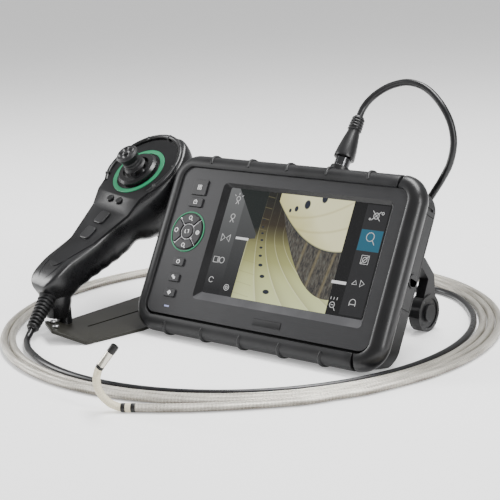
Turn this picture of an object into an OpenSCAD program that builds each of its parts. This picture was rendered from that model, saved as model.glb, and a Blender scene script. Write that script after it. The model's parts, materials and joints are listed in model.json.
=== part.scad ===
// Inspection camera: a tablet monitor on a kickstand, a joystick handle on a bent steel foot,
// and an articulating insertion tube wound in a coil around them. Millimetres, +Z up.

/* [Monitor] */
// Width over the bumpers
monitor_w = 243; // [238:1:250]
// Height over the bumpers, along the face
monitor_h = 150; // [147:1:156]
// Lean of the face back from vertical, degrees
recline = 29; // [26:1:32]
// Radius of the rounded bumper edge
edge_r = 9; // [8:0.5:9.5]
// Depth of the side walls behind the face
side_depth = 29; // [28:1:32]
// Full depth of the case behind the face
case_depth = 47; // [46:1:50]

/* [Screen] */
// Width of the lit picture
picture_w = 154; // [148:1:155]
// Height of the lit picture
picture_h = 88; // [84:1:89]
// Depth of the screen recess
recess_d = 2.8; // [2:0.2:3]

/* [Keys] */
// Radius of the navigation pad over its ring
pad_r = 17; // [16:0.5:18]
// Height of a key above the face
key_proud = 1.2; // [1:0.1:2]
// Space around each key
key_gap = 0.25; // [0.2:0.05:0.4]

/* [Stand] */
// Radius of the round feet
foot_r = 15; // [13:0.5:16]
// Distance of each foot from the middle of the monitor
foot_reach = 82; // [76:1:88]
// Distance of the feet behind the face
foot_back = 106; // [102:1:110]

/* [Handle] */
// Radius of the head
head_r = 39; // [37:1:41]
// Distance from the joystick to the end of the grip
grip_reach = 134; // [130:1:138]
// Heading of the grip, turned from straight back, degrees
handle_yaw = 12; // [10:1:14]
// Rise of the grip, degrees
handle_pitch = 36; // [35:1:37]
// Lean of the control face to the right, degrees
handle_roll = 5; // [3:1:7]
// Outer radius of the coloured ring
ring_r = 25; // [23:0.5:26]

/* [Tubes] */
// Diameter of the insertion tube
tube_d = 6; // [5:0.5:6]
// Radius of the innermost turn of the coil
coil_r = 189; // [186:1:190]
// Turns in the coil
coil_turns = 2; // [1:1:3]
// Diameter of the handle cable
cable_d = 5.5; // [5:0.5:6]

/* [Hidden] */
$fn = 48;
face_w = 218;
face_h = 124;
face_t = 5;
face_y = 1;
recess_at = [17, 4];
picture_at = [19, 6];
rim_z = -7;
wall_w = 234;
wall_h = 141;
corner_r = 22;
rib_proud = 1.6;
monitor_z = (monitor_h / 2 - edge_r) * cos(recline) - rim_z * sin(recline) + edge_r + rib_proud;
// Everything is laid out around the monitor, then set with the origin under its middle.
set_at = [0.72, 3.5, 0];
dip = 4.5;
monitor_at = [40, -6.5, monitor_z];
rib_pitch = 38.4;
rib_first = -82;
key_x = -88;
pad_y = 8.4;
key_rows = [[46.3, 15, 13], [33.4, 14, 7.4], [-17.4, 11, 6.4], [-30.7, 11, 6.4], [-43.5, 11, 6.4]];
door_y = [-22, 50];
edge_back = -15;
door_z = [-27.4, -15.8];
lock_y = 0;
lock_r = 5.4;
plug_x = 30;
plug_z = -17;
plug_tilt = 8;
hinge_y = 20;
hinge_z = -53;
foot_y = (foot_r - monitor_z + foot_back * sin(recline)) / cos(recline);
handle_at = [-124, 23, 118.6];
coil_at = [-12.5, 27.8];
turn_pitch = tube_d + 0.5;
tube_r = tube_d / 2;
coil_start = 95;
coil_end = -34;
coil_grow = turn_pitch * (coil_turns + (coil_start - coil_end) / 360);
cable_r = coil_r - tube_r - cable_d / 2 - 0.5;
// The cable leaves the plug in a high arch, comes down behind the monitor and turns outwards.
cable_arch = [[70, 74.6, 168.6], [70.4, 79, 174.6], [74, 84, 181.6], [82, 88, 188.4], [93, 90, 193.4],
    [107, 90, 195.6], [123, 88, 192],
    [138, 84, 182], [148, 82, 168], [152, 80, 153], [150, 78, 138], [144, 77, 126], [135, 79, 114],
    [124, 83, 101], [112, 88, 84], [102, 94, 64], [95, 100, 42], [88, 105, 22], [77, 110, 9],
    [64, 115, 4], [50, 121, 2.8], [40, 133, 2.8], [36, 149, 2.8], [41, 166, 2.8], [53, 178, 2.8],
    [69, 183, 2.8], [86, 179, 2.8]];
cable_round = [for (a = [50:-10:-120]) [coil_at[0] + cable_r * cos(a), coil_at[1] + cable_r * sin(a), 2.8]];
cable_in = [[-117.5, -121.3, 2.8], [-124.5, -115.5, 2.8], [-128.8, -111, 3.6], [-131, -106.8, 5.7],
    [-132.2, -102.9, 8.5]];
lead_route = [[-124, 57, 47], [-123.5, 62, 40], [-122, 71, 28], [-120, 82, 17], [-117, 95, 8],
    [-113, 110, 3.6], [-107, 127, 3], [-98, 145, 3], [-86, 162, 3], [-71, 178, 3], [-54, 193, 3],
    [-40, 205, 3], [-26, 213, 3]];
run_route = [[165, -74, 3], [156.5, -87.5, 3], [147, -103.5, 3], [134, -118, 3], [120, -132, 3],
    [105, -145.5, 3], [89.5, -158, 3], [73.5, -169.5, 3], [57, -179.5, 3]];
// The tip: its first joint, the way it heads, and how far each joint is turned up.
tip_at = [47.5, -185, 3];
tip_heading = 210;
link_l = 7;
link_turn = 21.3;
link_gap = 0.8;

// --- shared shapes -----------------------------------------------------------------------------

// Puts a piece drawn on the monitor's face, x right, y up and z out, where the monitor stands.
module on_monitor() {
    translate(set_at + monitor_at) rotate([90 - recline, 0, 0]) children();
}

// Puts a piece drawn around the joystick, y towards the nose and z out of the control face.
module on_handle() {
    translate(set_at + handle_at) rotate([0, 0, -handle_yaw]) rotate([handle_pitch, 0, 0])
        rotate([0, handle_roll, 0]) children();
}

module rounded_outline(w, h, r) {
    square([w, h - 2 * r], center = true);
    square([w - 2 * r, h], center = true);
    for (i = [-1, 1], j = [-1, 1]) translate([i * (w / 2 - r), j * (h / 2 - r)]) circle(r);
}

// A plate with rounded corners whose top is at z = top.
module rounded_plate(w, h, r, top, t) {
    translate([0, 0, top - t]) linear_extrude(t) rounded_outline(w, h, r);
}

// A ring from r0 to r1 whose top is at z = top.
module flat_ring(r0, r1, top, t) {
    translate([0, 0, top - t]) linear_extrude(t) difference() {
        circle(r1);
        circle(r0);
    }
}

// The cable socket stands on the top wall and leans back a little; its parts share one axis.
module on_plug_axis() {
    translate([plug_x, wall_h / 2 + 4, plug_z]) rotate([-90 - plug_tilt, 0, 0]) children();
}

// --- monitor: front ----------------------------------------------------------------------------

// The round edge that runs all around the monitor.
module round_edge(r) {
    half_w = monitor_w / 2 - edge_r;
    half_h = monitor_h / 2 - edge_r;
    turn = corner_r - edge_r;
    translate([0, 0, rim_z]) {
        for (j = [-1, 1]) translate([0, j * half_h, 0]) rotate([0, 90, 0])
            cylinder(h = 2 * (half_w - turn), r = r, center = true);
        for (i = [-1, 1]) translate([i * half_w, 0, 0]) rotate([90, 0, 0])
            cylinder(h = 2 * (half_h - turn), r = r, center = true);
        for (q = [[1, 1, 0], [-1, 1, 90], [-1, -1, 180], [1, -1, 270]])
            translate([q[0] * (half_w - turn), q[1] * (half_h - turn), 0]) rotate([0, 0, q[2]])
                rotate_extrude(angle = 90) translate([turn, 0]) circle(r);
    }
}

// The edge is cut flat behind, where the case meets it.
module behind_edge() {
    translate([-150, -100, edge_back - 30]) cube([300, 200, 30]);
}

// The room that the face plate and the case behind it take inside the edge.
module edge_pocket() {
    translate([0, face_y, 0]) rounded_plate(face_w + 0.6, face_h + 0.6, 9.3, 10, 10 + face_t);
    rounded_plate(211, 118, 10, 0, 40);
}

module edge_rib(x, side) {
    translate([x, side * (monitor_h / 2 - edge_r), rim_z]) rotate([0, 90, 0]) {
        cylinder(h = 5, r = edge_r + rib_proud, center = true);
        translate([0, 0, 2.5]) cylinder(h = 2, r1 = edge_r + rib_proud, r2 = edge_r - 0.2);
        translate([0, 0, -4.5]) cylinder(h = 2, r1 = edge_r - 0.2, r2 = edge_r + rib_proud);
    }
}

module bumper() {
    on_monitor() color("#2b2b2d") difference() {
        union() {
            round_edge(edge_r);
            difference() {
                for (i = [0:4], side = [-1, 1]) edge_rib(rib_first + i * rib_pitch, side);
                rounded_plate(wall_w + 0.4, wall_h + 0.4, 19, rim_z - 2.9, 20);
            }
        }
        edge_pocket();
        behind_edge();
        translate([98, -100, -40]) cube([60, 200, 60]);
        on_plug_axis() cylinder(h = 40, r = 8.3, center = true);
    }
}

module side_grip() {
    on_monitor() color("#1d1d1f") difference() {
        round_edge(edge_r);
        edge_pocket();
        behind_edge();
        translate([-140, -100, -40]) cube([239.5, 200, 60]);
    }
}

module screen_opening() {
    hull() {
        translate([recess_at[0], recess_at[1], 0]) rounded_plate(163, 98, 4, 0.5, 0.4);
        translate([picture_at[0], picture_at[1], 0])
            rounded_plate(picture_w, picture_h, 1.5, 0.4 - recess_d, 0.4);
    }
    translate([picture_at[0], picture_at[1], 0]) rounded_plate(picture_w, picture_h, 1.5, 0, 20);
    translate([picture_at[0], picture_at[1], 0]) rounded_plate(160.4, 94.4, 2, -recess_d, 20);
}

// One quarter of the navigation pad between radius r0 and r1, with its flanks moved in by side.
module pad_quarter(r0, r1, side) {
    intersection() {
        difference() {
            circle(r1);
            circle(r0);
        }
        translate([0, side * sqrt(2)]) rotate(45) square(40);
    }
}

module front_frame() {
    on_monitor() color("#4b4b4e") difference() {
        translate([0, face_y, 0]) rounded_plate(face_w, face_h, 9, 0, face_t);
        screen_opening();
        for (k = key_rows) translate([key_x, k[0], 0])
            rounded_plate(k[1] + 2 * key_gap, k[2] + 2 * key_gap, 1.2, 1, 20);
        translate([key_x, pad_y, 0]) {
            for (q = [0:3]) rotate([0, 0, 90 * q]) translate([0, 0, -10])
                linear_extrude(20) pad_quarter(7.2, pad_r - 2, 0.7);
            cylinder(h = 40, r = 5.6 + key_gap, center = true);
            flat_ring(pad_r - 1.1, pad_r + 0.1, 1, 2);
        }
        translate([key_x, -54.5, 0]) rounded_plate(6, 1.4, 0.6, 1, 20);
    }
}

module screen_glass() {
    on_monitor() color("#0c0c0e") translate([picture_at[0], picture_at[1], 0])
        rounded_plate(160, 94, 2, -recess_d, 1.2);
}

module screen_gasket() {
    on_monitor() color("#202022") translate([picture_at[0], picture_at[1], 0]) difference() {
        rounded_plate(160, 94, 2, -recess_d - 1.2, 0.9);
        rounded_plate(155, 89, 2, 0, 20);
    }
}

module display_panel() {
    on_monitor() color("#8d9092") translate([picture_at[0], picture_at[1], 0])
        rounded_plate(165, 99, 1, -face_t, 4);
}

module keypad_sheet() {
    on_monitor() color("#6e7276") translate([-90, 0, 0]) rounded_plate(24, 112, 2, -face_t - 0.2, 1);
}

// --- monitor: keys -----------------------------------------------------------------------------

module key_cap(row) {
    on_monitor() color("#5a5a5e") translate([key_x, key_rows[row][0], 0])
        rounded_plate(key_rows[row][1], key_rows[row][2], 1, key_proud, key_proud + 4);
}

module key_menu() { key_cap(0); }
module key_home() { key_cap(1); }
module key_light() { key_cap(2); }
module key_image() { key_cap(3); }
module key_power() { key_cap(4); }

module arc_key(q) {
    on_monitor() color("#5a5a5e") translate([key_x, pad_y, -4]) rotate([0, 0, q])
        linear_extrude(4 + key_proud) pad_quarter(7.2 + key_gap, pad_r - 2 - key_gap, 0.7 + key_gap);
}

module key_up() { arc_key(0); }
module key_left() { arc_key(90); }
module key_down() { arc_key(180); }
module key_right() { arc_key(270); }

module key_enter() {
    on_monitor() color("#5a5a5e") translate([key_x, pad_y, -4]) cylinder(h = 4 + key_proud, r = 5.6);
}

module pad_ring() {
    on_monitor() color("#3f9a63") translate([key_x, pad_y, 0]) flat_ring(pad_r - 1, pad_r, 0.5, 1.4);
}

// --- monitor: case and what it holds -----------------------------------------------------------

// The case is open to the front. Its walls stand flush under the round edge, and its lower
// rear edge is bevelled where it would touch the table.
module rear_shell() {
    color("#2f2f31") difference() {
        on_monitor() difference() {
            union() {
                rounded_plate(wall_w, wall_h, 19, edge_back - 0.2, side_depth + edge_back - 0.2);
                hull() {
                    rounded_plate(222, 126, 14, -side_depth + 0.5, 0.5);
                    rounded_plate(196, 98, 10, 0.5 - case_depth, 0.5);
                }
                for (i = [-1, 1]) translate([i * (foot_reach - 11), hinge_y, hinge_z + 2])
                    cube([8, 14, 12], center = true);
            }
            rounded_plate(226, 126, 16, 0, side_depth - 1.5);
            rounded_plate(190, 92, 8, -20, case_depth - 22);
            translate([wall_w / 2 - 3, door_y[0] - 0.3, door_z[0] - 0.3])
                cube([10, door_y[1] - door_y[0] + 0.6, door_z[1] - door_z[0] + 0.6]);
            translate([100, -14, -25]) cube([20, 56, 9]);
            on_plug_axis() cylinder(h = 60, r = 5.2, center = true);
            for (i = [-1, 1]) translate([i * (foot_reach - 11), hinge_y, hinge_z]) rotate([0, 90, 0])
                cylinder(h = 12, r = 2, center = true);
            for (y = [54, 59]) translate([wall_w / 2 - 1.5, y, -25]) cube([4, 2, 10]);
        }
        translate([-200, -200, -50]) cube([400, 400, 51]);
    }
}

module main_board() {
    on_monitor() color("#2f6b46") {
        rounded_plate(176, 96, 2, -14.4, 1.6);
        translate([-30, -10, -14.4]) cube([34, 34, 2.4]);
        translate([30, 14, -14.4]) cube([22, 18, 2]);
        translate([60, -30, -14.4]) cube([16, 12, 1.6]);
    }
}

module battery_pack() {
    on_monitor() color("#4f74a8") for (y = [-30, -10, 10, 30]) translate([-76, y, -31]) rotate([0, 90, 0])
        cylinder(h = 132, r = 9.2);
}

module port_sockets() {
    on_monitor() color("#a9acae") for (y = [-8, 12, 30]) translate([101, y, -24]) difference() {
        cube([11.8, 11, 6.8]);
        translate([6, 2, 2]) cube([8, 7, 3]);
    }
}

module port_door() {
    on_monitor() color("#2b2b2d") difference() {
        translate([wall_w / 2 - 2.7, door_y[0], door_z[0]])
            cube([2.7, door_y[1] - door_y[0], door_z[1] - door_z[0]]);
        translate([wall_w / 2, lock_y, (door_z[0] + door_z[1]) / 2]) rotate([0, 90, 0])
            cylinder(h = 10, r = lock_r + 0.05, center = true);
    }
}

module door_lock() {
    on_monitor() color("#38383a") translate([wall_w / 2 - 2.6, lock_y, (door_z[0] + door_z[1]) / 2])
        rotate([0, 90, 0]) difference() {
            cylinder(h = 3.4, r = lock_r);
            translate([-4.4, -0.9, 2]) cube([8.8, 1.8, 3]);
        }
}

module on_plug() {
    on_monitor() on_plug_axis() children();
}

module cable_socket() {
    on_plug() color("#2a2a2c") difference() {
        union() {
            translate([0, 0, -3.4]) cylinder(h = 8.4, r = 8);
            translate([0, 0, -18]) cylinder(h = 16, r = 5.1);
        }
        translate([0, 0, -2]) cylinder(h = 10, r = 4.05);
    }
}

module lock_ring() {
    on_plug() color("#c9cbcc") difference() {
        translate([0, 0, 5.2]) cylinder(h = 7.6, r = 6);
        cylinder(h = 30, r = 4.05);
    }
}

module cable_plug() {
    on_plug() color("#1c1c1e") {
        translate([0, 0, 0]) cylinder(h = 13.1, r = 4);
        translate([0, 0, 13]) cylinder(h = 5, r1 = 8.4, r2 = 8);
        translate([0, 0, 18]) cylinder(h = 20, r1 = 8, r2 = 4.8);
        translate([0, 0, 38]) cylinder(h = 12, r1 = 5.8, r2 = 5);
    }
}

module case_screws() {
    on_monitor() color("#8b8d8f") for (x = [-90, 90], y = [-40, 42]) translate([x, y, -case_depth]) {
        rotate([180, 0, 0]) difference() {
            cylinder(h = 1.6, r = 3);
            translate([0, 0, 0.8]) cylinder(h = 2, r = 1.5, $fn = 6);
        }
    }
}

// --- stand -------------------------------------------------------------------------------------

// Each arm runs back from its pin, bows, and comes down to a round foot.
module stand_arm() {
    arm = [[hinge_y, hinge_z, 5], [hinge_y + 8, -80, 4], [hinge_y + 1, -97, 4], [foot_y, -foot_back, 12]];
    rotate([0, 90, 0]) linear_extrude(8, center = true) for (i = [0:2]) hull() {
        translate([-arm[i][1], arm[i][0]]) circle(arm[i][2], $fn = 32);
        translate([-arm[i + 1][1], arm[i + 1][0]]) circle(arm[i + 1][2], $fn = 32);
    }
}

module kickstand() {
    on_monitor() color("#1b1b1d") difference() {
        union() {
            for (i = [-1, 1]) translate([i * foot_reach, 0, 0]) stand_arm();
            translate([0, hinge_y + 1, -97]) rotate([0, 90, 0])
                cylinder(h = 2 * foot_reach, r = 3.6, center = true);
        }
        for (i = [-1, 1]) translate([i * foot_reach, hinge_y, hinge_z]) rotate([0, 90, 0])
            cylinder(h = 12, r = 2.05, center = true);
        for (i = [-1, 1]) translate([i * foot_reach, foot_y, -foot_back]) rotate([0, 90, 0])
            cylinder(h = 12, r = 7, center = true);
    }
}

module stand_pins() {
    on_monitor() color("#a4a6a8") for (i = [-1, 1]) translate([i * (foot_reach - 5.5), hinge_y, hinge_z])
        rotate([0, 90, 0]) cylinder(h = 19, r = 2, center = true);
}

module on_foot(side) {
    on_monitor() translate([side * foot_reach, foot_y, -foot_back]) rotate([0, 90, 0]) children();
}

module stand_feet() {
    color("#161617") for (i = [-1, 1]) difference() {
        on_foot(i) cylinder(h = 9.6, r = foot_r, center = true);
        on_foot(i) cylinder(h = 20, r = 12, center = true);
        on_monitor() translate([i * foot_reach, 0, 0]) stand_arm();
    }
}

module foot_hubs() {
    color("#2c2c2e") for (i = [-1, 1]) on_foot(i) cylinder(h = 12.4, r = 7, center = true);
}

// --- handle ------------------------------------------------------------------------------------

// The handle seen on its control face: a round head that narrows to the grip.
module grip_outline(inset) {
    hull() {
        translate([0, 6]) circle(head_r + 1 - inset);
        translate([0, -50]) circle(20 - inset);
    }
    hull() {
        translate([0, -50]) circle(20 - inset);
        translate([0, 17 - grip_reach]) circle(17 - inset);
    }
}

module plate_outline(gap) {
    hull() {
        translate([0, 3]) circle(head_r - 4 + gap);
        translate([0, 30 - grip_reach]) circle(8.5 + gap);
    }
}

// The top seen from the side: level on the head, dipped along the keys and raised at the butt.
function top_line(rise) = [[50, rise], [-28, rise], [-42, rise - dip], [-78, rise - dip],
    [-108, rise + 1.5], [-122, rise + 1.5], [-grip_reach, rise - 2], [-grip_reach - 1, rise - 2]];

module under_top(low, high) {
    rotate([90, 0, 90]) linear_extrude(120, center = true)
        polygon(concat(top_line(high), [[-grip_reach - 1, low], [50, low]]));
}

module top_layer(low, high) {
    rotate([90, 0, 90]) linear_extrude(120, center = true)
        polygon(concat(top_line(high), [for (i = [7:-1:0]) top_line(low)[i]]));
}

// The underside falls from the butt to the finger notch, and the head hangs below it.
module side_profile(inset) {
    rotate([90, 0, 90]) linear_extrude(120, center = true) polygon([
        [-grip_reach + inset, 4], [50, 4], [50, -14 + inset], [40, -27 + inset], [20, -40 + inset],
        [-4, -53 + inset], [-26, -53 + inset], [-38, -46 + inset], [-44, -39 + inset],
        [-52, -43 + inset], [-62, -42 + inset], [-94, -33 + inset], [8 - grip_reach, -30 + inset],
        [-grip_reach + inset, -22 + inset]]);
}

module grip_shell() {
    on_handle() color("#1f1f21") difference() {
        intersection() {
            translate([0, 0, -60]) linear_extrude(64) grip_outline(0);
            side_profile(0);
            under_top(-60, 0);
        }
        intersection() {
            translate([0, 0, -60]) linear_extrude(64) grip_outline(3);
            side_profile(3);
            under_top(-60, -3);
        }
        intersection() {
            translate([0, 0, -20]) linear_extrude(24) plate_outline(0.2);
            top_layer(-2.5, 5);
        }
        intersection() {
            translate([0, 0, -20]) linear_extrude(24) plate_outline(-2.5);
            top_layer(-8, 5);
        }
        for (i = [0:5]) translate([0, -62 - 11 * i, -48.5 + 2.6 * i]) rotate([0, 90, 0])
            cylinder(h = 90, r = 8, center = true);
        translate([0, -15, -60]) cylinder(h = 20, r = 5.1);
        on_butt() cylinder(h = 20, r = 5.1, center = true);
    }
}

module face_plate() {
    on_handle() color("#333336") difference() {
        intersection() {
            translate([0, 0, -20]) linear_extrude(24) plate_outline(0);
            top_layer(-2.4, 0);
        }
        translate([0, 0, -5]) cylinder(h = 10, r = 18.7);
        flat_ring(ring_r - 4.1, ring_r + 0.1, 1, 2);
        for (x = [-6, 6]) translate([x, -33, -7]) cylinder(h = 12, r = 3.4);
        for (y = [-52, -70]) translate([0, y, 0]) rounded_plate(11.5, 13.5, 3, 1 - dip, 10);
    }
}

module color_ring() {
    on_handle() color("#3f9a63") flat_ring(ring_r - 4, ring_r, 0.6, 1.5);
}

module stick_collar() {
    on_handle() color("#2a2a2c") {
        difference() {
            union() {
                translate([0, 0, -5]) cylinder(h = 8, r = 18.5);
                translate([0, 0, 3]) cylinder(h = 2, r1 = 18.5, r2 = 16.5);
            }
            translate([0, 0, -6]) cylinder(h = 20, r = 12.5);
        }
        for (i = [0, 180]) rotate([0, 0, i]) translate([9.6, 0, 0]) rotate([0, 90, 0])
            cylinder(h = 3.4, r = 1);
    }
}

module stick_fork() {
    on_handle() color("#9a9c9e") {
        difference() {
            translate([0, 0, -2]) cylinder(h = 4, r = 10.5);
            translate([0, 0, -3]) cylinder(h = 6, r = 8);
            rotate([0, 90, 0]) cylinder(h = 40, r = 1.04, center = true);
        }
        rotate([90, 0, 0]) cylinder(h = 17, r = 1, center = true);
    }
}

module stick() {
    on_handle() color("#b4b6b8") difference() {
        union() {
            translate([0, 0, -4]) cylinder(h = 8, r = 4.5);
            translate([0, 0, 4]) cylinder(h = 11.5, r = 3);
        }
        rotate([90, 0, 0]) cylinder(h = 20, r = 1.04, center = true);
    }
}

// A dome about the stick's pivot, so that it turns inside the collar, and a sleeve above it.
module stick_boot() {
    on_handle() color("#1a1a1b") difference() {
        union() {
            sphere(r = 12.2);
            translate([0, 0, 9]) cylinder(h = 5.5, r1 = 8.1, r2 = 7.6);
        }
        sphere(r = 11);
        translate([0, 0, -13]) cube([40, 40, 40], center = true);
        cylinder(h = 30, r = 3);
    }
}

module stick_cap() {
    on_handle() color("#232325") difference() {
        translate([0, 0, 14.6]) union() {
            cylinder(h = 6, r1 = 8, r2 = 10);
            translate([0, 0, 6]) cylinder(h = 2, r1 = 10, r2 = 8.5);
        }
        translate([0, 0, 13.5]) cylinder(h = 2.1, r = 3.1);
        for (i = [0:3]) rotate([0, 0, 45 + 90 * i]) translate([4.6, 0, 25]) sphere(r = 4);
    }
}

module steer_motors() {
    on_handle() color("#a2a4a6") for (x = [-8, 8]) translate([x, -34, -26]) rotate([90, 0, 0]) {
        cylinder(h = 34, r = 7.5);
        translate([0, 0, -9]) cylinder(h = 9.1, r = 5);
    }
}

module handle_board() {
    on_handle() color("#2f6b46") translate([0, -84, 0]) rounded_plate(20, 58, 2, -8.9 - dip, 1.6);
}

module face_pad(y) {
    on_handle() color("#2c2c2e") translate([0, y, 0]) rounded_plate(11, 13, 2.8, 1.6 - dip, 4.6);
}

module pad_front() { face_pad(-52); }
module pad_back() { face_pad(-70); }

module face_button(x) {
    on_handle() color("#2c2c2e") translate([x, -33, -4]) cylinder(h = 4, r = 3.15);
}

module key_freeze() { face_button(-6); }
module key_zoom() { face_button(6); }

module tube_gland() {
    on_handle() color("#161617") translate([0, -15, -53]) rotate([180, 0, 0]) {
        translate([0, 0, -6]) cylinder(h = 6, r = 5);
        cylinder(h = 3, r = 7);
        translate([0, 0, 3]) cylinder(h = 22, r1 = 5.6, r2 = 3.8);
    }
}

// The cable's way out of the butt, turned a little to one side.
module on_butt() {
    translate([4, -grip_reach + 3, -14]) rotate([90, 0, 24]) children();
}

// The strain relief of the handle cable: a taper with raised ribs.
module cable_gland() {
    on_handle() color("#161617") on_butt() {
        translate([0, 0, -4]) cylinder(h = 10, r = 5);
        translate([0, 0, 5]) cylinder(h = 33, r1 = 6, r2 = 3.8);
        for (i = [0:6]) translate([0, 0, 6.5 + 4.5 * i]) cylinder(h = 2.7, r = 7.4 - 0.4 * i);
    }
}

// A bent sheet foot: a flat strip, a flap and a riser under the butt, and a post under the head.
module handle_foot() {
    color("#2b2b27") translate(set_at) {
        difference() {
            linear_extrude(2.4) polygon([[-144, -58], [-84, -89], [-72, -36], [-80, 66], [-144, 66]]);
            translate([-112, -12, 2.4]) rotate([0, 0, -4]) cube([2.4, 90, 2], center = true);
        }
        hull() for (p = [[-143, -59, 0], [-85, -88, 0], [-109, -101, 9], [-133, -86, 9]])
            translate(p) cylinder(h = 2.4, r = 1.2, $fn = 12);
        translate([-112, 63, 0]) cube([14, 2.4, 104]);
        translate([-141, -59, 0]) cylinder(h = 20, r = 6.5);
    }
}

module foot_screws() {
    color("#9b9d9f") translate(set_at) for (p = [[-127, -84, 10.6], [-115, -92, 10.6]]) translate(p)
        cylinder(h = 2, r = 2.6);
}

// --- cables and the insertion tube -------------------------------------------------------------

function unit(v) = v / norm(v);
function along(route, i) = unit(route[min(i + 1, len(route) - 1)] - route[max(i - 1, 0)]);
function across(t) = unit(cross(t, abs(t[2]) > 0.9 ? [0, 1, 0] : [0, 0, 1]));

// A round tube swept along a route, with one ring of points at each of its places.
module swept_tube(route, r, sides) {
    last = len(route) - 1;
    points = [for (i = [0:last]) let (t = along(route, i), u = across(t), v = cross(t, u))
        for (k = [0:sides - 1]) route[i] + r * (cos(360 * k / sides) * u + sin(360 * k / sides) * v)];
    walls = [for (i = [0:last - 1], k = [0:sides - 1]) let (n = (k + 1) % sides)
        [i * sides + k, i * sides + n, (i + 1) * sides + n, (i + 1) * sides + k]];
    near_end = [for (k = [0:sides - 1]) sides - 1 - k];
    far_end = [for (k = [0:sides - 1]) last * sides + k];
    polyhedron(points, concat(walls, [near_end, far_end]), convexity = 10);
}

module handle_cable() {
    color("#1c1c1e") translate(set_at) swept_tube(concat(cable_arch, cable_round, cable_in), cable_d / 2, 8);
}

// The wound turns as one flat ring.
module tube_coil() {
    color("#b9b6aa") translate(set_at + [coil_at[0], coil_at[1], 0]) rotate_extrude($fn = 96)
        translate([coil_r - tube_r, 0]) square([coil_grow + tube_d, tube_d]);
}

// The tube's two free stretches: from the handle to the coil, and from the coil to the ferrule.
module tube_run() {
    color("#b9b6aa") translate(set_at) {
        swept_tube(lead_route, tube_r, 8);
        swept_tube(run_route, tube_r, 8);
    }
}

// Stands a child at the near end of link n: 0 is the ferrule, whose far end is the first joint.
module on_link(n) {
    if (n == 0) translate(set_at + tip_at) rotate([0, 0, tip_heading]) children();
    else on_link(n - 1) translate([n > 1 ? link_l : 0, 0, 0]) rotate([0, -link_turn, 0]) children();
}

module tube_ferrule() {
    on_link(0) color("#2a2a2a") translate([-11, 0, 0]) rotate([0, 90, 0])
        cylinder(h = 11 - link_gap, r = tube_r);
}

module link(n) {
    on_link(n) color("#cfc8b4") translate([link_gap, 0, 0]) rotate([0, 90, 0])
        cylinder(h = link_l - 2 * link_gap, r = tube_r - 0.2);
}

module bend_1() { link(1); }
module bend_2() { link(2); }
module bend_3() { link(3); }
module bend_4() { link(4); }
module bend_5() { link(5); }

module tip_head() {
    on_link(6) color("#8f8b80") translate([link_gap, 0, 0]) rotate([0, 90, 0]) difference() {
        union() {
            cylinder(h = 3, r = tube_r - 0.2);
            translate([0, 0, 3]) cylinder(h = 18, r = tube_r - 0.1);
        }
        translate([0, 0, 20.4]) cylinder(h = 2, r = 1.6);
    }
}

front_frame();
screen_glass();
screen_gasket();
display_panel();
bumper();
side_grip();
rear_shell();
main_board();
battery_pack();
keypad_sheet();
key_menu();
key_home();
key_up();
key_right();
key_down();
key_left();
key_enter();
pad_ring();
key_light();
key_image();
key_power();
port_door();
door_lock();
port_sockets();
cable_socket();
lock_ring();
case_screws();
kickstand();
stand_pins();
stand_feet();
foot_hubs();
grip_shell();
face_plate();
color_ring();
stick_collar();
stick_fork();
stick();
stick_boot();
stick_cap();
steer_motors();
handle_board();
pad_front();
pad_back();
key_freeze();
key_zoom();
tube_gland();
cable_gland();
handle_foot();
foot_screws();
handle_cable();
cable_plug();
tube_coil();
tube_run();
tube_ferrule();
bend_1();
bend_2();
bend_3();
bend_4();
bend_5();
tip_head();
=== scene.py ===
"""Inspection camera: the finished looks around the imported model.

A tablet monitor leans on its kickstand. A joystick handle stands on a bent steel foot beside it.
A braided insertion tube runs from the handle, lies in a coil around both and ends in a bending tip.
"""

import json
import math

import bpy
from mathutils import Matrix, Vector

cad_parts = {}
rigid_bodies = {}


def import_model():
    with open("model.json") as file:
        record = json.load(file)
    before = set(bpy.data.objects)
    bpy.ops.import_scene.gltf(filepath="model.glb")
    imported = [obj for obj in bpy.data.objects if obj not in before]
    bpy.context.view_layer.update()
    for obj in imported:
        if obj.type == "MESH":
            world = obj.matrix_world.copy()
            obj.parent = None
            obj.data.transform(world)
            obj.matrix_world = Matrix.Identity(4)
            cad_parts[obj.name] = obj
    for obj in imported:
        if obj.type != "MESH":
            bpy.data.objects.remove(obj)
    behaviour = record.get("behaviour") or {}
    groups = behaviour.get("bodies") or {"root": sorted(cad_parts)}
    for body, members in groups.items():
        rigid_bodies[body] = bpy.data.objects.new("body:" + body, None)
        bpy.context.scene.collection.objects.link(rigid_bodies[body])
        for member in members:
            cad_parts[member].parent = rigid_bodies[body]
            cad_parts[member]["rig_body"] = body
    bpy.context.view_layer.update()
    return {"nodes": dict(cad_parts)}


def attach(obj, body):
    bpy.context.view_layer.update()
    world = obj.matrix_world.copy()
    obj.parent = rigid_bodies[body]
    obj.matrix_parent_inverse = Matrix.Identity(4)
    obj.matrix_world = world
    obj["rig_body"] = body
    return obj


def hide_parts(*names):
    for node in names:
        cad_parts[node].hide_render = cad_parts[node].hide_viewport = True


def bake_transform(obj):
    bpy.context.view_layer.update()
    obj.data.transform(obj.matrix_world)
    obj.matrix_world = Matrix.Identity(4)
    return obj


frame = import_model()

MM = 0.001
SET_AT = Vector((0.72, 3.5, 0.0))

# --- where the two big pieces stand --------------------------------------------------------------


def turn(axis, degrees):
    return Matrix.Rotation(math.radians(degrees), 4, axis)


def at(x, y, z):
    return Matrix.Translation(Vector((x, y, z)) * MM)


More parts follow.
